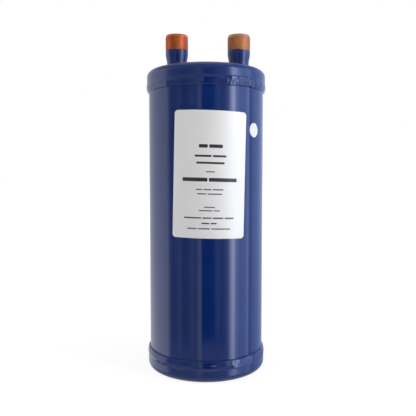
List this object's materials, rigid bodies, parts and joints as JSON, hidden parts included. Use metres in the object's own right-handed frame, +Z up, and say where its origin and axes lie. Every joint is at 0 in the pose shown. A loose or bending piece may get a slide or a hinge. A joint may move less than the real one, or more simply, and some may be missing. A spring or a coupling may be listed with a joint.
{
  "type": "suction line accumulator",
  "caption": "Upright cylindrical steel vessel with welded drawn end caps and copper inlet and outlet cups on top, holding a U-tube that meters oil back to a compressor.",
  "frame": {"origin": "centre of the bottom end face, which the vessel stands on", "axes": "+Z up along the vessel towards the ports, -Y towards the label, -X to the inlet and +X to the outlet"},
  "size_m": [0.1324, 0.1324, 0.37],
  "materials": {
    "blue_enamel": "glossy dark blue enamel with slight orange peel",
    "weld_enamel": "the same enamel over a rippled, pitted weld bead",
    "copper": "bare copper, slightly tarnished, enamelled on the lower part outside",
    "filler": "brazing filler, enamelled over outside",
    "brass": "turned brass",
    "bare_steel": "plain steel",
    "label_film": "satin white film"
  },
  "bodies": {
    "root": {"shell_tube": "blue_enamel", "top_cap": "blue_enamel", "bottom_cap": "blue_enamel", "top_girth_weld": "weld_enamel", "bottom_girth_weld": "weld_enamel", "inlet_tube": "copper", "outlet_tube": "copper", "inlet_braze": "filler", "outlet_braze": "filler", "inlet_elbow": "copper", "u_tube": "copper", "elbow_braze": "filler", "u_tube_braze": "filler", "orifice_fitting": "brass", "screen_sleeve": "brass", "screen_cap": "brass", "screen_clip": "bare_steel", "leg_strap_front": "bare_steel", "leg_strap_back": "bare_steel", "strap_rivet": "bare_steel", "label": "label_film", "dot_sticker": "label_film"}
  },
  "joints": []
}
